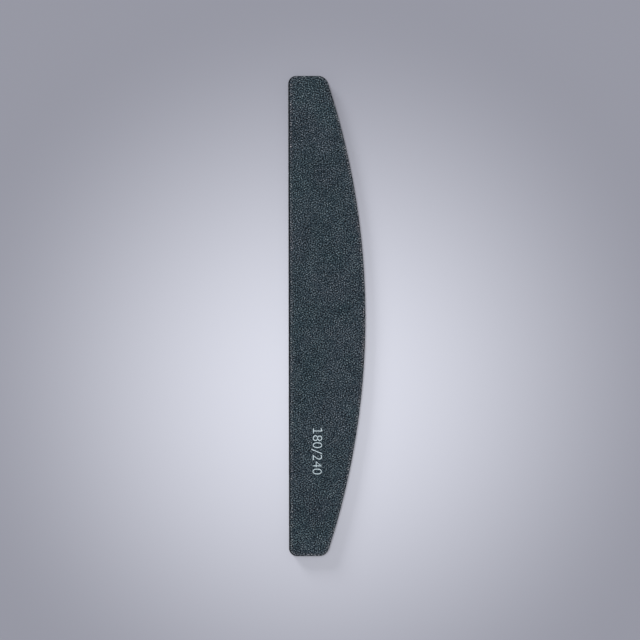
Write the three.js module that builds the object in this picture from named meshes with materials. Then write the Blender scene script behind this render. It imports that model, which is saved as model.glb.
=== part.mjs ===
// A half-moon nail buffer: an abrasive paper on a foam cushion either side of a stiff core, glued up
// as one sheet and cut out with a steel-rule die. Millimetres, +Z up. It lies on its back face, with
// its length along Y, its straight spine at -X and its curved belly at +X. The origin is on the
// table, under the middle of the outline's box.
import * as THREE from "three";

// The die line that every layer is cut to
const LENGTH = 178;
const WIDTH = 28.4; // spine to the crest of the belly
const END_WIDTH = 13.8; // spine to where the belly's arc would reach the end
const SPINE_CORNER_RADIUS = 2.9;
const BELLY_CORNER_RADIUS = 3.8;

// The layers
const CORE_THICKNESS = 1.0;
const INNER_FILM_THICKNESS = 0.1;
const FOAM_THICKNESS = 0.9;
const OUTER_FILM_THICKNESS = 0.1;
const PAPER_THICKNESS = 0.25;
const FRONT_GRIT_THICKNESS = 0.16;
const BACK_GRIT_THICKNESS = 0.14; // the finer side

// What the die leaves at the cut edge
const RIM_DROP = 0.3; // how far the abrasive paper is pinched towards the core
const RIM_WIDTH = 1.8; // the band in which it turns down
const FOAM_WAIST = 0.2; // how far the cut foam draws in between the stiffer layers

// Facets
const BELLY_FACETS = 28;
const CORNER_FACETS = 6;
const RIM_FACETS = 4;
const WALL_FACETS = 4;
const TIGHTEST_CORNER = 0.2; // radius that a corner keeps when it is drawn in past its own radius

// Looks
const CORE_GREY = new THREE.MeshStandardMaterial({ color: "#8d9294", roughness: 0.55, metalness: 0 });
const FILM_CLEAR = new THREE.MeshStandardMaterial({ color: "#6c6f70", roughness: 0.35, metalness: 0 });
const FOAM_BLACK = new THREE.MeshStandardMaterial({ color: "#26292c", roughness: 0.95, metalness: 0 });
const PAPER_BLACK = new THREE.MeshStandardMaterial({ color: "#22262a", roughness: 0.8, metalness: 0 });
const GRIT_CHARCOAL = new THREE.MeshStandardMaterial({ color: "#384348", roughness: 0.85, metalness: 0 });

// An interface of the stack is pinched towards the core at its edge, or stays flat
const PINCHED = 1;
const FLAT = 0;

function arc(x, y, radius, from, to, facets) {
  return new THREE.EllipseCurve(x, y, radius, radius, from, to).getPoints(facets);
}

// The die line drawn in by an inset, counter-clockwise from where the spine meets the lower end
function dieLine(inset) {
  const bellyRise = WIDTH - END_WIDTH;
  const bellyRadius = ((LENGTH / 2) ** 2 + bellyRise ** 2) / (2 * bellyRise);
  const bellyCentre = WIDTH / 2 - bellyRadius;
  const endLine = LENGTH / 2 - inset;

  const spineRadius = Math.max(SPINE_CORNER_RADIUS - inset, TIGHTEST_CORNER);
  const spineX = inset + spineRadius - WIDTH / 2;
  const spineY = endLine - spineRadius;

  // A belly corner's arc touches the end line and the belly's arc from inside
  const tipRadius = Math.max(BELLY_CORNER_RADIUS - inset, TIGHTEST_CORNER);
  const tipY = endLine - tipRadius;
  const tipReach = Math.sqrt((bellyRadius - inset - tipRadius) ** 2 - tipY ** 2);
  const tipX = bellyCentre + tipReach;
  const tipAngle = Math.atan2(tipY, tipReach);

  return [
    ...arc(spineX, -spineY, spineRadius, Math.PI, Math.PI * 1.5, CORNER_FACETS),
    ...arc(tipX, -tipY, tipRadius, -Math.PI / 2, -tipAngle, CORNER_FACETS),
    ...arc(bellyCentre, 0, bellyRadius - inset, -tipAngle, tipAngle, BELLY_FACETS).slice(1, -1),
    ...arc(tipX, tipY, tipRadius, tipAngle, Math.PI / 2, CORNER_FACETS),
    ...arc(spineX, spineY, spineRadius, Math.PI / 2, Math.PI, CORNER_FACETS),
  ];
}

function ring(inset, z) {
  return dieLine(inset).map(({ x, y }) => new THREE.Vector3(x, y, z));
}

// Triangles between two rings: they face up where the second lies inside the first, and out where it
// lies above
function band(first, second) {
  return first.flatMap((point, i) => {
    const next = (i + 1) % first.length;
    return [point, first[next], second[next], point, second[next], second[i]];
  });
}

// One interface of the stack as seen from outside: its rim, turned down along a parabola, and its
// flat middle. The layers on both sides of it share these faces.
function skin(height, pinch) {
  const steps = pinch * RIM_FACETS;
  const rings = Array.from({ length: steps + 1 }, (_, step) => {
    const inward = step / RIM_FACETS;
    return ring(inward * RIM_WIDTH, height - pinch * RIM_DROP * (1 - inward) ** 2);
  });
  const rim = rings.slice(1).flatMap((inner, i) => band(rings[i], inner));
  const middle = rings.at(-1);
  const flat = THREE.ShapeUtils.triangulateShape(middle, []).flat();
  return { edge: rings[0], faces: [...rim, ...flat.map((i) => middle[i])] };
}

// The cut wall of a layer, from its lower edge to its upper one, drawn in by the waist at mid height
function wall(lower, upper, waist) {
  const facets = waist > 0 ? WALL_FACETS : 1;
  const rings = Array.from({ length: facets + 1 }, (_, step) => {
    const up = step / facets;
    return ring(4 * waist * up * (1 - up), THREE.MathUtils.lerp(lower[0].z, upper[0].z, up));
  });
  return rings.slice(1).flatMap((above, i) => band(rings[i], above));
}

function layer(name, lower, upper, material, waist = 0) {
  const inside = lower.faces.toReversed();
  const faces = [...inside, ...wall(lower.edge, upper.edge, waist), ...upper.faces];
  const geometry = new THREE.BufferGeometry().setFromPoints(faces);
  geometry.computeVertexNormals();
  const mesh = new THREE.Mesh(geometry, material);
  mesh.name = name;
  return mesh;
}

function coreBoard() {
  return layer("core_board", skin(0, FLAT), skin(CORE_THICKNESS, FLAT), CORE_GREY);
}

// One working face, built outwards from the core's surface
function workingFace(side, gritThickness) {
  const filmTop = INNER_FILM_THICKNESS;
  const foamTop = filmTop + FOAM_THICKNESS;
  const glueTop = foamTop + OUTER_FILM_THICKNESS;
  const paperTop = glueTop + PAPER_THICKNESS;

  const onCore = skin(0, FLAT);
  const onFilm = skin(filmTop, FLAT);
  const onFoam = skin(foamTop, PINCHED);
  const onGlue = skin(glueTop, PINCHED);
  const onPaper = skin(paperTop, PINCHED);
  const outside = skin(paperTop + gritThickness, PINCHED);

  const face = new THREE.Group();
  face.add(
    layer(`${side}_inner_film`, onCore, onFilm, FILM_CLEAR),
    layer(`${side}_foam`, onFilm, onFoam, FOAM_BLACK, FOAM_WAIST),
    layer(`${side}_outer_film`, onFoam, onGlue, FILM_CLEAR),
    layer(`${side}_paper`, onGlue, onPaper, PAPER_BLACK),
    layer(`${side}_grit`, onPaper, outside, GRIT_CHARCOAL),
  );
  return face;
}

function nailBuffer() {
  const cushion = INNER_FILM_THICKNESS + FOAM_THICKNESS + OUTER_FILM_THICKNESS;
  const core = coreBoard();
  core.position.z = BACK_GRIT_THICKNESS + PAPER_THICKNESS + cushion;

  const front = workingFace("front", FRONT_GRIT_THICKNESS);
  front.position.z = core.position.z + CORE_THICKNESS;

  // The outline is the same end for end, so the back face is the front one turned over along X
  const back = workingFace("back", BACK_GRIT_THICKNESS);
  back.rotation.x = Math.PI;
  back.position.z = core.position.z;

  const buffer = new THREE.Group();
  buffer.add(core, front, back);
  return buffer;
}

export default nailBuffer();
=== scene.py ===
import math
import random

import bmesh
import bpy
from mathutils import Matrix, Vector, noise
from mathutils.bvhtree import BVHTree


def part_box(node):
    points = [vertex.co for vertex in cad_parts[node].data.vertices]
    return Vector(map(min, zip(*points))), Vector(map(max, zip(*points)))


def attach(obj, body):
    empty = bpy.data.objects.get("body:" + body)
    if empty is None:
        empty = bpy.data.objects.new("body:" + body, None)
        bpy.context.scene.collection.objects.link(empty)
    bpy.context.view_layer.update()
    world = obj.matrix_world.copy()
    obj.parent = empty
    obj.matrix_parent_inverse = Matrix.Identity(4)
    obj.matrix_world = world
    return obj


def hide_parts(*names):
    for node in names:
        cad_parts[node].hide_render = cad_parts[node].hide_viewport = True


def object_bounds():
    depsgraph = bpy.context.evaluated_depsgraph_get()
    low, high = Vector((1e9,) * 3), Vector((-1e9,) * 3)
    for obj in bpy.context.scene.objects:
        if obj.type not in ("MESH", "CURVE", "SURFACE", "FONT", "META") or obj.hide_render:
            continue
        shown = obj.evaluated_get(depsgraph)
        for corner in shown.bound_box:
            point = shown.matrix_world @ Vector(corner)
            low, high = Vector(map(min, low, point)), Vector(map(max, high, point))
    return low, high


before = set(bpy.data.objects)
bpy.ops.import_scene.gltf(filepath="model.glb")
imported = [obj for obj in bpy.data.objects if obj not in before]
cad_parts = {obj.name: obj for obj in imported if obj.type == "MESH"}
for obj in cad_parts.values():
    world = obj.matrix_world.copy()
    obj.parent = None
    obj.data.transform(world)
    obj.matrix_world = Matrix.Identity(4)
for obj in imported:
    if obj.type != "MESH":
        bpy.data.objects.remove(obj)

CAD_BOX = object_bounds()
MM = 0.001

# The die line that every layer is cut to
WIDTH = CAD_BOX[1].x - CAD_BOX[0].x
LENGTH = CAD_BOX[1].y - CAD_BOX[0].y
END_WIDTH = 13.8 * MM
SPINE_CORNER_RADIUS = 2.9 * MM
BELLY_CORNER_RADIUS = 3.8 * MM
SPINE_X = -WIDTH / 2
END_MIDDLE_X = SPINE_X + END_WIDTH / 2
BELLY_RISE = WIDTH - END_WIDTH
BELLY_RADIUS = ((LENGTH / 2) ** 2 + BELLY_RISE ** 2) / (2 * BELLY_RISE)
BELLY_CENTRE = Vector((WIDTH / 2 - BELLY_RADIUS, 0))
SPINE_CORNER = Vector((SPINE_X + SPINE_CORNER_RADIUS, LENGTH / 2 - SPINE_CORNER_RADIUS))
TIP_Y = LENGTH / 2 - BELLY_CORNER_RADIUS
TIP_REACH = math.sqrt((BELLY_RADIUS - BELLY_CORNER_RADIUS) ** 2 - TIP_Y ** 2)
TIP_CORNER = Vector((BELLY_CENTRE.x + TIP_REACH, TIP_Y))
TIP_ANGLE = math.atan2(TIP_Y, TIP_REACH)
QUARTER_TURN = math.pi / 2
FEWEST_ARC_STEPS = 6
SAME_PLACE = 1e-6 * MM

# The rim that the die leaves: the sheets are pinched towards the core, and the foam draws in
RIM_WIDTH = 1.8 * MM
RIM_DROP = 0.3 * MM
RIM_STEPS = 4
FOAM_WAIST = 0.2 * MM
# Width of the band of painted highlight and shade along a grit coat's cut edge, and how much nearer the edge
# that band lies away from the spine, the side that faces the light
PAINTED_EDGE_BAND = 2.0 * MM
OFF_SPINE_EDGE_SHIFT = 0.45 * MM

# Grain of the two abrasive faces: the spacing of the modelled grains, and the specks of tone on them
GRAIN_STEP = 0.225 * MM
GRAIN_JITTER = 0.34
LOWEST_GRAIN = 0.2
FRONT_SPECK = 0.36 * MM
BACK_SPECK = 0.32 * MM
FRONT_SEED = 180
BACK_SEED = 240

# Cut edges of the inner layers
SMOOTH_STEP = 0.6 * MM
FIBRE_STEP = 0.25 * MM
FIBRE_STRAY = 0.045 * MM
FIBRE_GRAIN = 0.4 * MM
GLUE_STRAY = 0.035 * MM
GLUE_GRAIN = 2.5 * MM
PORE_STEP = 0.14 * MM
PORE_SIZE = 0.24 * MM
PORE_REACH = 0.55
PORE_DEPTH = 0.1 * MM
PORE_ROWS = 7
CORE_EDGE_ROUND = 0.07 * MM

# The grade number printed on the front face, reading towards the lower end
MARK_HEIGHT = 3.45 * MM
MARK_START = Vector((-5.25 * MM, -41.65 * MM))
MARK_TURN = math.radians(-90.8)
STROKE = 0.31 * MM
LETTER_THINNING = 0.018
ONE_FOOT = 1.9 * MM
ONE_FLAG = 0.9 * MM
ONE_FLAG_ROOT = 1.3 * STROKE
ONE_FLAG_TIP = 2 * STROKE
FIRST_REST = "80"
FIRST_REST_START = 2.58 * MM
FIRST_REST_END = 7.28 * MM
SLASH_START = 7.6 * MM
SLASH_END = 9.5 * MM
SLASH_DROP = 0.5 * MM
SECOND = "240"
SECOND_START = 9.7 * MM
SECOND_END = 17.05 * MM
INK_WELD = 0.0006 * MM
INK_STEP = 0.13 * MM
INK_SNAP = 0.004 * MM
INK_FILM = 0.012 * MM
INK_SPECK = 0.2 * MM

# The bake layout of a grit coat, in shares of its picture
BAKE_MARGIN = 0.02
FACE_SPAN = 0.92
UNDERSIDE_START = 0.97
UNDERSIDE_SPAN = 0.02

# The photograph's view, straight down
PHOTO_WIDTH = 640
PIXEL = 0.3706 * MM
PHOTO_CENTRE = Vector((320, 320))
BUFFER_CENTRE = Vector((327.0, 315.95))
PHOTO_TURN = math.radians(0.1)
CAMERA_HEIGHT = 1.2
SENSOR = 36

# Every layer is made outwards from the middle of the core, then put on its side of it
CORE_MIDDLE = sum(corner.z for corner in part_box("core_board")) / 2
TO_MIDDLE = Matrix.Translation((0, 0, CORE_MIDDLE))
TURN_OVER = Matrix.Rotation(math.pi, 4, "X")
SIDES = {"front": TO_MIDDLE, "back": TO_MIDDLE @ TURN_OVER}


# Node helpers

def node(tree, kind, inputs=None, **settings):
    """Adds a node with its options, and sets or links its inputs."""
    made = tree.nodes.new(kind)
    for name, value in settings.items():
        setattr(made, name, value)
    for name, value in (inputs or {}).items():
        if isinstance(value, bpy.types.NodeSocket):
            tree.links.new(value, made.inputs[name])
        else:
            made.inputs[name].default_value = value
    return made


def calculate(tree, operation, first, second):
    """The result of a sum on two values."""
    return node(tree, "ShaderNodeMath", {0: first, 1: second}, operation=operation).outputs[0]


def mix_colours(tree, factor, first, second, blend_type="MIX"):
    """One colour laid over another."""
    factor_slot, first_slot, second_slot, result_slot = 0, 6, 7, 2
    made = node(tree, "ShaderNodeMix", {factor_slot: factor, first_slot: first, second_slot: second},
                data_type="RGBA", blend_type=blend_type)
    return made.outputs[result_slot]


def ramp(tree, factor, stops):
    """A colour ramp through (position, colour) stops."""
    made = node(tree, "ShaderNodeValToRGB", {"Fac": factor})
    elements = made.color_ramp.elements
    while len(elements) < len(stops):
        elements.new(0.5)
    for element, (position, colour) in zip(elements, stops):
        element.position = position
        element.color = solid(colour)
    return made.outputs["Color"]


def solid(colour):
    """A colour with nothing showing through."""
    return (*colour, 1.0)


def grey(value):
    return (value, value, value)


def attribute(tree, name):
    """A value that the piece's own points carry."""
    return node(tree, "ShaderNodeAttribute", attribute_name=name).outputs["Fac"]


def cells(tree, place, scale):
    """Cells of random shape, so many to a unit of the place."""
    return node(tree, "ShaderNodeTexVoronoi", {"Vector": place, "Scale": scale}).outputs


def random_draws(tree, scatter):
    """The three random numbers that each cell has."""
    return node(tree, "ShaderNodeSeparateColor", {"Color": scatter["Color"]}).outputs


def clouds(tree, place, size, detail=2.0):
    """Soft noise with clouds of about a size."""
    made = node(tree, "ShaderNodeTexNoise", {"Vector": place, "Scale": 1 / size, "Detail": detail})
    return made.outputs["Fac"]


def new_group(name, inputs, outputs):
    """An empty shader group, with its input and output sockets."""
    tree = bpy.data.node_groups.new(name, "ShaderNodeTree")
    for direction, sockets in (("INPUT", inputs), ("OUTPUT", outputs)):
        for socket, kind in sockets.items():
            tree.interface.new_socket(socket, in_out=direction, socket_type=kind)
    return tree, tree.nodes.new("NodeGroupInput").outputs, tree.nodes.new("NodeGroupOutput").inputs


def effect(tree, group, inputs):
    """Places a shared effect in a material and gives its outputs."""
    return node(tree, "ShaderNodeGroup", inputs, node_tree=group).outputs


def new_material(name):
    """A material, its tree, its shader and the place on the object."""
    material = bpy.data.materials.new(name)
    material.use_nodes = True
    tree = material.node_tree
    shader = tree.nodes["Principled BSDF"]
    place = tree.nodes.new("ShaderNodeTexCoord").outputs["Object"]
    return material, tree, shader, place


def dress(tree, shader, colour, roughness, height, strength, depth):
    """Gives a shader its colour, its roughness and a fine relief of some strength and depth."""
    relief = node(tree, "ShaderNodeBump", {"Height": height, "Strength": strength, "Distance": depth})
    tree.links.new(colour, shader.inputs["Base Color"])
    tree.links.new(roughness, shader.inputs["Roughness"])
    tree.links.new(relief.outputs["Normal"], shader.inputs["Normal"])


# Shared effects

CHIPS_TO_GRAIN = 2.7
CHIP_SHARE = 0.3
NEIGHBOURS = 3
NEIGHBOUR_SHIFT = 1.17
NEIGHBOUR_SHADE_SHARE = 0.9
SCRATCH_STRETCH = 0.12


def crushed_grain_group():
    """Grains of random tone with finer chips, and how far each grain differs from those beside it, as painted
    light and shade between neighbours.
    """
    tree, given, result = new_group(
        "crushed_grain", {"Place": "NodeSocketVector", "Grain Size": "NodeSocketFloat"},
        {name: "NodeSocketFloat" for name in ("Tone", "Gloss", "Height", "Shaded Tone")})
    scale = calculate(tree, "DIVIDE", 1.0, given["Grain Size"])
    counted = node(tree, "ShaderNodeVectorMath", {0: given["Place"], "Scale": scale}, operation="SCALE")
    in_grains = counted.outputs["Vector"]
    whole_draws = random_draws(tree, cells(tree, in_grains, 1.0))
    chips = cells(tree, in_grains, CHIPS_TO_GRAIN)
    whole_part = calculate(tree, "MULTIPLY", whole_draws["Red"], 1 - CHIP_SHARE)
    chip_part = calculate(tree, "MULTIPLY", random_draws(tree, chips)["Red"], CHIP_SHARE)
    tone = calculate(tree, "ADD", whole_part, chip_part)
    # Each grain's tone less that of the grains beside it: painted light and shade between neighbouring grains
    relief = tone
    for side in range(NEIGHBOURS):
        angle = math.tau * side / NEIGHBOURS
        shift = NEIGHBOUR_SHIFT * Vector((math.cos(angle), math.sin(angle), 0))
        moved = node(tree, "ShaderNodeVectorMath", {0: in_grains, 1: shift}, operation="ADD")
        beside = random_draws(tree, cells(tree, moved.outputs["Vector"], 1.0))
        part = calculate(tree, "MULTIPLY", beside["Red"], NEIGHBOUR_SHADE_SHARE / NEIGHBOURS)
        relief = calculate(tree, "SUBTRACT", relief, part)
    tree.links.new(tone, result["Tone"])
    tree.links.new(whole_draws["Green"], result["Gloss"])
    tree.links.new(calculate(tree, "SUBTRACT", 1.0, chips["Distance"]), result["Height"])
    tree.links.new(relief, result["Shaded Tone"])
    return tree


def die_marks_group():
    """Upright scratches that the die draws down a cut edge."""
    tree, given, result = new_group(
        "die_marks", {"Place": "NodeSocketVector", "Spacing": "NodeSocketFloat"},
        {"Marks": "NodeSocketFloat"})
    upright = node(tree, "ShaderNodeVectorMath", {0: given["Place"], 1: (1, 1, SCRATCH_STRETCH)},
                   operation="MULTIPLY")
    scale = calculate(tree, "DIVIDE", 1.0, given["Spacing"])
    scratches = node(tree, "ShaderNodeTexNoise",
                     {"Vector": upright.outputs["Vector"], "Scale": scale, "Detail": 3.0, "Roughness": 0.65})
    tree.links.new(scratches.outputs["Fac"], result["Marks"])
    return tree


CRUSHED_GRAIN = crushed_grain_group()
DIE_MARKS = die_marks_group()


# Finishes

# Tones of the grit: its middle shade as shown on a display, its spread, and what each source adds
GRIT_SHADE = (0.226, 0.277, 0.31)
GRIT_SPREAD = 0.64
MIDDLE_TONE = 0.5
DARKEST_SHADE = 0.02
DISPLAY_GAMMA = 2.2
TONE_STOPS = (0.05, 0.2, 0.35, 0.5, 0.65, 0.8, 0.95)
BASE_TONE = 0.175
LIFT_SHARE = 0.1
# Share of the grain tone that holds painted light and shade between neighbouring grains
SHADED_TONE_SHARE = 1.0
MOTTLE_SHARE = 0.15
MOTTLE_SIZE = 6.25 * MM
DRIFT_SIZE = 10.53 * MM
DRIFT_TINT = [(0.35, (0.94, 1.01, 1.0)), (0.65, (1.06, 1.0, 1.02))]

# From the face out to the cut edge: a pale band of painted highlight where the turned-down rim catches the
# light, then a dark lip, partly its black cut edge and partly painted shade
PAINTED_EDGE_LIGHT_AND_SHADE = [
    (0.0, grey(1.0)), (0.3, (1.1, 1.0, 0.99)), (0.5, (2.0, 1.62, 1.52)),
    (0.63, (1.95, 1.6, 1.52)), (0.76, grey(0.3)), (1.0, grey(0.2)),
]

# Patterns of the cut edges
FIBRE_SPACING = 0.12 * MM
GLUE_SWELL_SIZE = 1.11 * MM
SCRATCH_SPACING = 0.2 * MM
CORE_CLOUD_SIZE = 8.33 * MM

# A pale pool of light painted in the middle of the table: where it lies and how far it reaches, its colour,
# and the table's colour beyond it
LIGHT_POOL_MIDDLE = (-4 * MM, -26 * MM, 0)
LIGHT_POOL_REACH = 147 * MM
PAINTED_POOL_COLOUR = (0.73, 0.745, 0.835)
FAR_TABLE = (0.31, 0.315, 0.37)


def grit_tone(tone):
    """The colour of a grain of some tone, from display values that all channels share the spread of."""
    spread = GRIT_SPREAD * (tone - MIDDLE_TONE)
    return [max(DARKEST_SHADE, shade + spread) ** DISPLAY_GAMMA for shade in GRIT_SHADE]


def grit_finish(name, speck):
    """Charcoal grains in resin: pale worn tips, painted light and shade between neighbouring grains, and
    along the cut edge a band of painted highlight and a dark lip that is partly painted shade.
    """
    material, tree, shader, place = new_material(name)
    grains = effect(tree, CRUSHED_GRAIN, {"Place": place, "Grain Size": speck})
    mottle = clouds(tree, place, MOTTLE_SIZE)
    tone = BASE_TONE
    for source, share in ((attribute(tree, "lift"), LIFT_SHARE), (grains["Shaded Tone"], SHADED_TONE_SHARE),
                          (mottle, MOTTLE_SHARE)):
        tone = calculate(tree, "ADD", tone, calculate(tree, "MULTIPLY", source, share))
    charcoal = ramp(tree, tone, [(stop, grit_tone(stop)) for stop in TONE_STOPS])
    tint = ramp(tree, clouds(tree, place, DRIFT_SIZE), DRIFT_TINT)
    # Painted highlight on the turned-down rim, and a dark lip at the cut edge that is partly painted shade
    crushed = ramp(tree, attribute(tree, "edge"), PAINTED_EDGE_LIGHT_AND_SHADE)
    tinted = mix_colours(tree, 1.0, charcoal, tint, "MULTIPLY")
    coat = mix_colours(tree, 1.0, tinted, crushed, "MULTIPLY")
    rough = ramp(tree, grains["Gloss"], [(0.1, grey(0.42)), (0.9, grey(0.8))])
    dress(tree, shader, coat, rough, grains["Height"], strength=0.4, depth=0.05 * MM)
    shader.inputs["Specular IOR Level"].default_value = 0.1
    return material


def foam_finish():
    """Black closed-cell foam, greyer on the skin between its cut cells."""
    material, tree, shader, place = new_material("cushion_foam")
    wall = cells(tree, place, 1 / PORE_SIZE)["Distance"]
    skin = ramp(tree, wall, [(0.25, (0.006, 0.0065, 0.007)), (0.75, (0.03, 0.032, 0.035))])
    dull = ramp(tree, wall, [(0.2, grey(1.0)), (0.8, grey(0.8))])
    dress(tree, shader, skin, dull, wall, strength=0.5, depth=0.06 * MM)
    return material


def paper_finish():
    """Black latex paper with paler fibres drawn out at its cut edge."""
    material, tree, shader, place = new_material("backing_paper")
    fibres = effect(tree, DIE_MARKS, {"Place": place, "Spacing": FIBRE_SPACING})["Marks"]
    colour = ramp(tree, fibres, [(0.4, (0.012, 0.014, 0.017)), (0.7, (0.06, 0.064, 0.068))])
    rough = ramp(tree, fibres, [(0.3, grey(0.7)), (0.7, grey(0.95))])
    dress(tree, shader, colour, rough, fibres, strength=0.6, depth=0.04 * MM)
    return material


def glue_finish():
    """A tacky film of adhesive, seen as a thin dark glossy line."""
    material, tree, shader, place = new_material("glue_film")
    swell = clouds(tree, place, GLUE_SWELL_SIZE)
    colour = ramp(tree, swell, [(0.35, (0.05, 0.052, 0.05)), (0.7, (0.14, 0.14, 0.13))])
    gloss = ramp(tree, swell, [(0.3, grey(0.2)), (0.7, grey(0.45))])
    dress(tree, shader, colour, gloss, swell, strength=0.3, depth=0.03 * MM)
    return material


def core_finish():
    """Satin grey board with the die's scratches down its cut edge."""
    material, tree, shader, place = new_material("core_grey")
    scratches = effect(tree, DIE_MARKS, {"Place": place, "Spacing": SCRATCH_SPACING})["Marks"]
    cut = ramp(tree, scratches, [(0.3, (0.2, 0.215, 0.22)), (0.7, (0.34, 0.36, 0.37))])
    cloudy = clouds(tree, place, CORE_CLOUD_SIZE, detail=3.0)
    shade = ramp(tree, cloudy, [(0.3, grey(0.9)), (0.7, grey(1.08))])
    colour = mix_colours(tree, 1.0, cut, shade, "MULTIPLY")
    satin = ramp(tree, scratches, [(0.3, grey(0.4)), (0.7, grey(0.62))])
    dress(tree, shader, colour, satin, scratches, strength=0.35, depth=0.05 * MM)
    return material


def ink_finish():
    """Pale grey printing ink, thin where it lies over sharp grains."""
    material, tree, shader, place = new_material("grade_ink")
    grains = effect(tree, CRUSHED_GRAIN, {"Place": place, "Grain Size": INK_SPECK})
    colour = ramp(tree, grains["Tone"], [(0.1, (0.34, 0.42, 0.46)), (0.5, (0.64, 0.76, 0.82))])
    rough = ramp(tree, grains["Gloss"], [(0.2, grey(0.5)), (0.8, grey(0.75))])
    dress(tree, shader, colour, rough, grains["Height"], strength=0.25, depth=0.03 * MM)
    return material


def floor_finish():
    """A pale lavender table with a painted pool of light that falls off in tone away from the middle."""
    material, tree, shader, place = new_material("table")
    # Painted pool of light: pale in the middle, falling off to the far colour
    away = node(tree, "ShaderNodeVectorMath", {0: place, 1: LIGHT_POOL_MIDDLE}, operation="DISTANCE")
    fall = node(tree, "ShaderNodeMapRange", {"Value": away.outputs["Value"], "From Max": LIGHT_POOL_REACH},
                interpolation_type="SMOOTHSTEP").outputs["Result"]
    pale = mix_colours(tree, fall, solid(PAINTED_POOL_COLOUR), solid(FAR_TABLE))
    tree.links.new(pale, shader.inputs["Base Color"])
    shader.inputs["Roughness"].default_value = 0.9
    shader.inputs["Specular IOR Level"].default_value = 0.0
    return material


# Shape helpers

def reach(node_name):
    """How far the flat outer face of a layer lies from the middle of the core."""
    low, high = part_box(node_name)
    return max(high.z - CORE_MIDDLE, CORE_MIDDLE - low.z)


def pinch(depth):
    """How far a sheet is turned towards the core at a depth inside the die line."""
    return RIM_DROP * max(0.0, 1 - max(depth, 0.0) / RIM_WIDTH) ** 2


def clamp(value, limit):
    return max(-limit, min(limit, value))


def nearest_on_die_line(x, y):
    """The die line's point nearest to a place, and how deep inside the line that place is."""
    if x < END_MIDDLE_X:
        radius = SPINE_CORNER_RADIUS
        hub = Vector((max(x, SPINE_CORNER.x), clamp(y, SPINE_CORNER.y)))
    else:
        radius = BELLY_CORNER_RADIUS
        spoke = Vector((x, y)) - BELLY_CENTRE
        inner_radius = BELLY_RADIUS - radius
        hub = BELLY_CENTRE + spoke * min(1.0, inner_radius / spoke.length)
        if abs(hub.y) > TIP_CORNER.y:
            hub = Vector((min(x, TIP_CORNER.x), clamp(y, TIP_CORNER.y)))
    away = Vector((x, y)) - hub
    if away.length < SAME_PLACE:
        return hub, radius
    return hub + away * (radius / away.length), radius - away.length


def inward_at(place):
    """The direction from a place at the die line straight into the layer."""
    if place.x < END_MIDDLE_X:
        hub = Vector((max(place.x, SPINE_CORNER.x), clamp(place.y, SPINE_CORNER.y)))
    elif place.x > TIP_CORNER.x and abs(math.atan2(place.y, place.x - BELLY_CENTRE.x)) < TIP_ANGLE:
        hub = BELLY_CENTRE
    else:
        hub = Vector((min(place.x, TIP_CORNER.x), clamp(place.y, TIP_CORNER.y)))
    return (hub - place.xy).normalized()


def parts_of_kind(parts, kind):
    """The points, edges or faces among what an operator gives back."""
    return [part for part in parts if isinstance(part, kind)]


def new_piece(bm, name, material):
    """Turns a bmesh into a piece of the buffer."""
    mesh = bpy.data.meshes.new(name)
    bm.to_mesh(mesh)
    bm.free()
    piece = bpy.data.objects.new(name, mesh)
    bpy.context.scene.collection.objects.link(piece)
    mesh.materials.append(material)
    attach(piece, "root")
    return piece


def new_layer(bm, name, side, material, node_name):
    """Turns a bmesh made outwards from the core into the piece that stands for a layer."""
    bmesh.ops.recalc_face_normals(bm, faces=bm.faces)
    bmesh.ops.transform(bm, matrix=SIDES[side], verts=bm.verts)
    piece = new_piece(bm, name, material)
    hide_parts(node_name)
    return piece


# Cut layers

def spin_arc(bm, vert, centre, radius, angle, step):
    """Draws an arc of the die line on from a point, and gives its end."""
    steps = max(FEWEST_ARC_STEPS, round(radius * abs(angle) / step))
    made = bmesh.ops.spin(bm, geom=[vert], cent=(centre.x, centre.y, vert.co.z), axis=(0, 0, 1),
                          dvec=(0, 0, 0), angle=angle, steps=steps, use_duplicate=False)
    return parts_of_kind(made["geom_last"], bmesh.types.BMVert)[0]


def draw_straight(bm, vert, x, y, step):
    """Draws a straight stretch of the die line on from a point, and gives its end."""
    way = Vector((x, y, vert.co.z)) - vert.co
    steps = max(1, round(way.length / step))
    for _ in range(steps):
        made = bmesh.ops.extrude_vert_indiv(bm, verts=[vert])
        vert = made["verts"][0]
        vert.co += way / steps
    return vert


def draw_die_line(bm, z, step):
    """The die line as a loop of edges at a height, drawn round from the lower end of the spine."""
    lower_spine = Vector((SPINE_CORNER.x, -SPINE_CORNER.y))
    lower_tip = Vector((TIP_CORNER.x, -TIP_CORNER.y))
    tip_turn = QUARTER_TURN - TIP_ANGLE
    vert = bm.verts.new((SPINE_X, lower_spine.y, z))
    vert = spin_arc(bm, vert, lower_spine, SPINE_CORNER_RADIUS, QUARTER_TURN, step)
    vert = draw_straight(bm, vert, lower_tip.x, -LENGTH / 2, step)
    vert = spin_arc(bm, vert, lower_tip, BELLY_CORNER_RADIUS, tip_turn, step)
    vert = spin_arc(bm, vert, BELLY_CENTRE, BELLY_RADIUS, 2 * TIP_ANGLE, step)
    vert = spin_arc(bm, vert, TIP_CORNER, BELLY_CORNER_RADIUS, tip_turn, step)
    vert = draw_straight(bm, vert, SPINE_CORNER.x, LENGTH / 2, step)
    vert = spin_arc(bm, vert, SPINE_CORNER, SPINE_CORNER_RADIUS, QUARTER_TURN, step)
    draw_straight(bm, vert, SPINE_X, lower_spine.y, step)
    bmesh.ops.remove_doubles(bm, verts=bm.verts, dist=0.01 * step)


def close_sheet(bm, edges, pinched):
    """Closes a loop of cut edges with a sheet, whose rim rises from a pinched edge."""
    steps = RIM_STEPS if pinched else 0
    for step in range(steps):
        here, there = (pinch(RIM_WIDTH * (step + ahead) / RIM_STEPS) for ahead in (0, 1))
        made = bmesh.ops.extrude_edge_only(bm, edges=edges)["geom"]
        for vert in parts_of_kind(made, bmesh.types.BMVert):
            vert.co.xy += inward_at(vert.co) * RIM_WIDTH / RIM_STEPS
            vert.co.z += here - there
        edges = parts_of_kind(made, bmesh.types.BMEdge)
    bmesh.ops.contextual_create(bm, geom=edges)


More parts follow.
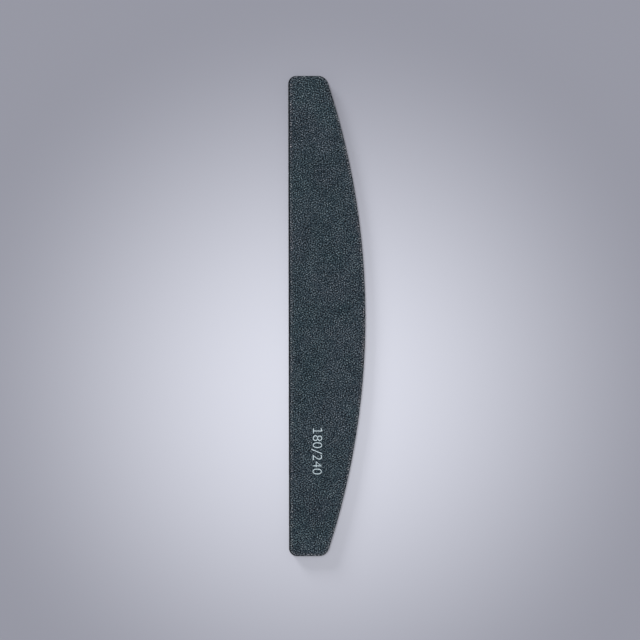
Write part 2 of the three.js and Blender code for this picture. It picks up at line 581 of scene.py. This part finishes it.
def cut_layer(inner, outer, inner_pinched, outer_pinched, step):
    """A layer cut to the die line between two distances from the core's middle, and its wall's edges."""
    bm = bmesh.new()
    lowest = inner - inner_pinched * RIM_DROP
    highest = outer - outer_pinched * RIM_DROP
    draw_die_line(bm, lowest, step)
    lower = bm.edges[:]
    made = bmesh.ops.extrude_edge_only(bm, edges=lower)["geom"]
    upper = parts_of_kind(made, bmesh.types.BMEdge)
    bmesh.ops.translate(bm, verts=parts_of_kind(made, bmesh.types.BMVert), vec=(0, 0, highest - lowest))
    wall = [edge for edge in bm.edges if edge.verts[0].co.z != edge.verts[1].co.z]
    close_sheet(bm, lower, inner_pinched)
    close_sheet(bm, upper, outer_pinched)
    return bm, wall


def stray_edge(wall, amount, grain, seed):
    """Lets the cut edge of a layer wander in and out a little."""
    shift = Vector((seed, 0, 0))
    for vert in {vert for edge in wall for vert in edge.verts}:
        vert.co.xy += inward_at(vert.co) * amount * noise.noise(vert.co / grain + shift)


def open_pores(bm, wall, seed):
    """Draws the cut foam wall in to its waist and opens its cells."""
    low, high = (pick(vert.co.z for edge in wall for vert in edge.verts) for pick in (min, max))
    made = bmesh.ops.subdivide_edges(bm, edges=wall, cuts=PORE_ROWS, use_grid_fill=False)
    shift = Vector((seed, seed, 0))
    for vert in set(parts_of_kind(made["geom_inner"], bmesh.types.BMVert)):
        up = (vert.co.z - low) / (high - low)
        waist = FOAM_WAIST * 4 * up * (1 - up)
        cell = noise.voronoi(vert.co / PORE_SIZE + shift)[0][0]
        pore = PORE_DEPTH * max(0.0, 1 - (cell / PORE_REACH) ** 2)
        vert.co.xy += inward_at(vert.co) * (waist + pore)


def core_board():
    """The stiff board in the middle, with its cut edges a little rounded."""
    half = reach("core_board")
    bm, wall = cut_layer(-half, half, False, False, SMOOTH_STEP)
    upright = set(wall)
    rim = [edge for edge in bm.edges if edge not in upright]
    bmesh.ops.bevel(bm, geom=rim, offset=CORE_EDGE_ROUND, segments=2, profile=0.5,
                    affect="EDGES", material=-1)
    new_layer(bm, "core", "front", core_finish(), "core_board")


# Abrasive faces

def lay_out_bake(bm):
    """Lays a grit coat out for baking: its halves side by side, and its hidden underside in a strip above."""
    layer = bm.loops.layers.uv.new("OFBake")
    half_length = LENGTH / 2
    for face in bm.faces:
        upper_half = face.calc_center_median().y > 0
        hidden = face.normal.z < -0.5
        start, span = (UNDERSIDE_START, UNDERSIDE_SPAN) if hidden else (BAKE_MARGIN, FACE_SPAN)
        for loop in face.loops:
            across = BAKE_MARGIN + (1 - 2 * BAKE_MARGIN) * (loop.vert.co.x / WIDTH + 0.5)
            along = (loop.vert.co.y + (0 if upper_half else half_length)) / half_length
            loop[layer].uv = ((across + upper_half) / 2, start + span * along)


def painted_edge_shift(foot):
    """How much nearer the cut edge the painted highlight and shade lie at a place than along the spine, the
    side that faces the light.
    """
    return OFF_SPINE_EDGE_SHIFT * min(1.0, (foot.x - SPINE_X) / SPINE_CORNER_RADIUS)


def grit_coat(side, seed, material):
    """The grains of one face: a crust of crushed facets on the paper, one grain to each point."""
    draw = random.Random(seed)
    base = reach(f"{side}_paper")
    coat = reach(f"{side}_grit") - base
    bm = bmesh.new()
    bmesh.ops.create_grid(bm, x_segments=round(WIDTH / GRAIN_STEP), y_segments=round(LENGTH / GRAIN_STEP),
                          size=0.5, matrix=Matrix.Diagonal((WIDTH, LENGTH, 1, 1)))
    outside = [vert for vert in bm.verts if nearest_on_die_line(vert.co.x, vert.co.y)[1] < -0.5 * GRAIN_STEP]
    bmesh.ops.delete(bm, geom=outside, context="VERTS")
    lift_layer = bm.verts.layers.float.new("lift")
    edge_layer = bm.verts.layers.float.new("edge")
    for vert in bm.verts:
        foot, depth = nearest_on_die_line(vert.co.x, vert.co.y)
        if vert.is_boundary:
            vert.co.xy = foot
            depth = 0
        else:
            vert.co.x += GRAIN_STEP * draw.uniform(-GRAIN_JITTER, GRAIN_JITTER)
            vert.co.y += GRAIN_STEP * draw.uniform(-GRAIN_JITTER, GRAIN_JITTER)
        lift = draw.random()
        vert[lift_layer] = lift
        # How far into the band of painted highlight and shade along the cut edge the point lies
        vert[edge_layer] = max(0.0, 1 - (depth + painted_edge_shift(foot)) / PAINTED_EDGE_BAND)
        vert.co.z = base + coat * (LOWEST_GRAIN + (1 - LOWEST_GRAIN) * lift) - pinch(depth)
    bmesh.ops.triangulate(bm, faces=bm.faces, quad_method="SHORT_EDGE")

    cut_edge = [edge for edge in bm.edges if edge.is_boundary]
    skirt = bmesh.ops.extrude_edge_only(bm, edges=cut_edge)["geom"]
    for vert in parts_of_kind(skirt, bmesh.types.BMVert):
        vert.co.z = base - RIM_DROP
    close_sheet(bm, parts_of_kind(skirt, bmesh.types.BMEdge), True)
    bmesh.ops.recalc_face_normals(bm, faces=bm.faces)
    lay_out_bake(bm)
    return new_layer(bm, f"{side}_grains", side, material, f"{side}_grit")


# The printed grade number

def flat_face(bm, outline):
    """A flat face with a given outline on the line of the mark."""
    bm.faces.new([bm.verts.new((x, y, 0)) for x, y in outline])


def numeral_one(bm):
    """A one with a flag and a foot, standing on the line of the mark with its foot starting the mark."""
    stem_left = (ONE_FOOT - STROKE) / 2
    stem_right = (ONE_FOOT + STROKE) / 2
    flag_left = stem_left - ONE_FLAG
    flat_face(bm, [
        (0, 0), (ONE_FOOT, 0), (ONE_FOOT, STROKE), (stem_right, STROKE), (stem_right, MARK_HEIGHT),
        (stem_left, MARK_HEIGHT), (flag_left, MARK_HEIGHT - STROKE), (flag_left, MARK_HEIGHT - ONE_FLAG_TIP),
        (stem_left, MARK_HEIGHT - ONE_FLAG_ROOT), (stem_left, STROKE), (0, STROKE),
    ])


def slash(bm):
    """A slanted bar that starts a little below the line of the mark."""
    flat_face(bm, [
        (SLASH_START, -SLASH_DROP), (SLASH_START + STROKE, -SLASH_DROP),
        (SLASH_END, MARK_HEIGHT), (SLASH_END - STROKE, MARK_HEIGHT),
    ])


def numerals(bm, body, start, end):
    """Numerals from the plain built-in letters, fitted between two places on the line of the mark."""
    letters = bpy.data.curves.new("grade_letters", "FONT")
    letters.body = body
    letters.offset = -LETTER_THINNING
    stand_in = bpy.data.objects.new("grade_letters", letters)
    bpy.context.scene.collection.objects.link(stand_in)
    drawn = stand_in.evaluated_get(bpy.context.evaluated_depsgraph_get())
    flat = bpy.data.meshes.new_from_object(drawn)
    bpy.data.objects.remove(stand_in)
    low, high = (Vector([pick(vert.co[axis] for vert in flat.vertices) for axis in range(3)])
                 for pick in (min, max))
    fit = Matrix.Diagonal(((end - start) / (high.x - low.x), MARK_HEIGHT / (high.y - low.y), 1, 1))
    flat.transform(Matrix.Translation((start, 0, 0)) @ fit @ Matrix.Translation(-low))
    bm.from_mesh(flat)
    bpy.data.meshes.remove(flat)


def cut_into_steps(bm):
    """Cuts the flat mark into steps as small as the grains, so that it can follow them."""
    for axis in (Vector((1, 0, 0)), Vector((0, 1, 0))):
        nearest, furthest = (pick(vert.co.dot(axis) for vert in bm.verts) for pick in (min, max))
        for cut in range(1, math.ceil((furthest - nearest) / INK_STEP)):
            bmesh.ops.bisect_plane(bm, geom=bm.verts[:] + bm.edges[:] + bm.faces[:], plane_no=axis,
                                   plane_co=axis * (nearest + cut * INK_STEP), dist=INK_SNAP)


def grade_mark(grains):
    """The grade number, printed as a film of ink that follows the grains under it."""
    bm = bmesh.new()
    numeral_one(bm)
    numerals(bm, FIRST_REST, FIRST_REST_START, FIRST_REST_END)
    slash(bm)
    numerals(bm, SECOND, SECOND_START, SECOND_END)
    bmesh.ops.remove_doubles(bm, verts=bm.verts, dist=INK_WELD)
    bmesh.ops.beautify_fill(bm, faces=bm.faces, edges=bm.edges, method="AREA")
    place = Matrix.Translation((*MARK_START, 0)) @ Matrix.Rotation(MARK_TURN, 4, "Z")
    bmesh.ops.transform(bm, matrix=place, verts=bm.verts)
    cut_into_steps(bm)

    ground = BVHTree.FromPolygons([vert.co for vert in grains.data.vertices],
                                  [face.vertices for face in grains.data.polygons])
    above = Vector((0, 0, 2 * CAD_BOX[1].z))
    down = Vector((0, 0, -1))
    for vert in bm.verts:
        vert.co = ground.ray_cast(vert.co + above, down)[0]
    bmesh.ops.recalc_face_normals(bm, faces=bm.faces)
    film = bmesh.ops.extrude_face_region(bm, geom=bm.faces[:])["geom"]
    bmesh.ops.translate(bm, verts=parts_of_kind(film, bmesh.types.BMVert), vec=(0, 0, INK_FILM))
    bmesh.ops.recalc_face_normals(bm, faces=bm.faces)
    new_piece(bm, "grade_mark", ink_finish())


# The laminate

FOAM = foam_finish()
PAPER = paper_finish()
GLUE = glue_finish()


def laminate(side, seed, grit):
    """The four cut layers on one side of the core, and the grit coat on them."""
    film, foam, glue, paper = (reach(f"{side}_{layer}")
                               for layer in ("inner_film", "foam", "outer_film", "paper"))
    bm, wall = cut_layer(reach("core_board"), film, False, False, SMOOTH_STEP)
    stray_edge(wall, GLUE_STRAY, GLUE_GRAIN, seed)
    new_layer(bm, f"{side}_inner_glue", side, GLUE, f"{side}_inner_film")

    bm, wall = cut_layer(film, foam, False, True, PORE_STEP)
    open_pores(bm, wall, seed)
    cushion = new_layer(bm, f"{side}_cushion", side, FOAM, f"{side}_foam")

    bm, wall = cut_layer(foam, glue, True, True, SMOOTH_STEP)
    stray_edge(wall, GLUE_STRAY, GLUE_GRAIN, seed + 1)
    new_layer(bm, f"{side}_outer_glue", side, GLUE, f"{side}_outer_film")

    bm, wall = cut_layer(glue, paper, True, True, FIBRE_STEP)
    stray_edge(wall, FIBRE_STRAY, FIBRE_GRAIN, seed + 2)
    new_layer(bm, f"{side}_backing", side, PAPER, f"{side}_paper")
    return grit_coat(side, seed, grit)


core_board()
front_grains = laminate("front", FRONT_SEED, grit_finish("front_grit", FRONT_SPECK))
laminate("back", BACK_SEED, grit_finish("back_grit", BACK_SPECK))
grade_mark(front_grains)


# Table, light and camera

TABLE_GAP = 0.05 * MM
TABLE_REACH = 3.0


def table():
    """A plain table just under the buffer."""
    mesh = bpy.data.meshes.new("floor")
    bm = bmesh.new()
    bmesh.ops.create_grid(bm, x_segments=1, y_segments=1, size=TABLE_REACH,
                          matrix=Matrix.Translation((0, 0, -TABLE_GAP)))
    bm.to_mesh(mesh)
    bm.free()
    floor = bpy.data.objects.new("floor", mesh)
    bpy.context.scene.collection.objects.link(floor)
    mesh.materials.append(floor_finish())


def soft_lamp(name, direction, spread, level):
    """A broad far lamp that gives the table a share of the light at which colours show as written."""
    data = bpy.data.lights.new(name, "SUN")
    lamp = bpy.data.objects.new(name, data)
    bpy.context.scene.collection.objects.link(lamp)
    towards = Vector(direction).normalized()
    lamp.rotation_euler = towards.to_track_quat("Z", "Y").to_euler()
    data.angle = math.radians(spread)
    data.energy = level * math.pi / towards.z


def studio_world(level, backdrop):
    """Even fill light, which the camera sees as a pale backdrop."""
    world = bpy.data.worlds.new("studio")
    bpy.context.scene.world = world
    world.use_nodes = True
    tree = world.node_tree
    sky = tree.nodes["Background"]
    sky.inputs["Strength"].default_value = 1.0
    rays = node(tree, "ShaderNodeLightPath").outputs
    glossy = calculate(tree, "MAXIMUM", rays["Is Glossy Ray"], rays["Is Transmission Ray"])
    seen = calculate(tree, "MAXIMUM", rays["Is Camera Ray"], glossy)
    tree.links.new(mix_colours(tree, seen, solid(grey(level)), solid(backdrop)), sky.inputs["Color"])


def photo_camera():
    """The camera straight above, placed so that the buffer lies where the photograph shows it."""
    data = bpy.data.cameras.new("camera")
    data.sensor_width = SENSOR
    data.lens = SENSOR * CAMERA_HEIGHT / (PHOTO_WIDTH * PIXEL)
    camera = bpy.data.objects.new("camera", data)
    bpy.context.scene.collection.objects.link(camera)
    offset = (PHOTO_CENTRE - BUFFER_CENTRE) * PIXEL
    camera.location = (offset.x, -offset.y, CAD_BOX[1].z + CAMERA_HEIGHT)
    camera.rotation_euler = (0, 0, -PHOTO_TURN)
    bpy.context.scene.camera = camera


table()
soft_lamp("overhead", direction=(-0.05, 0.06, 1), spread=20, level=0.58)
soft_lamp("key", direction=(-6, 8, 4), spread=22, level=0.17)
studio_world(level=0.25, backdrop=FAR_TABLE)
photo_camera()
bpy.context.scene.view_settings.view_transform = "Standard"
